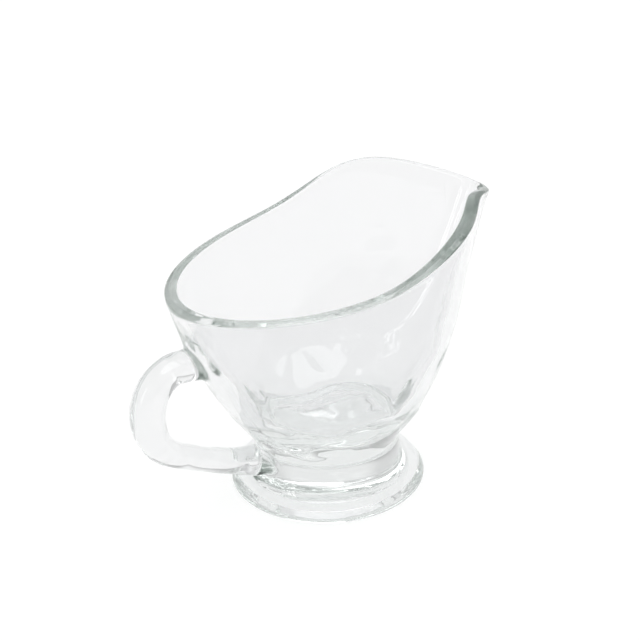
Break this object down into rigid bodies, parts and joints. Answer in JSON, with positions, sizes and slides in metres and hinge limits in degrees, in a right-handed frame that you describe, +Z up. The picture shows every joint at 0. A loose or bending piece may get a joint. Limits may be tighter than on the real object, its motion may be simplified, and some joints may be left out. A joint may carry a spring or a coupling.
{
  "type": "glass sauce boat",
  "caption": "Clear pressed-glass sauce boat: leaf-shaped bowl with a raised pouring spout, short stem, round foot and a solid loop handle at the back.",
  "frame": {"origin": "on the surface that the foot stands on, under the middle of the boat's overall length and width; the foot's own axis is 2.8 mm from it towards the spout", "axes": "+Z up, +X from the handle towards the spout's tip, +Y to the left of someone who looks along +X"},
  "size_m": [0.1336, 0.0776, 0.0969],
  "materials": {
    "clear_glass": "fire-polished clear soda-lime pressed glass with a faint grey-green tint in its thick edges"
  },
  "bodies": {
    "root": {"bowl": "clear_glass", "stem": "clear_glass", "foot": "clear_glass", "handle": "clear_glass"}
  },
  "joints": []
}
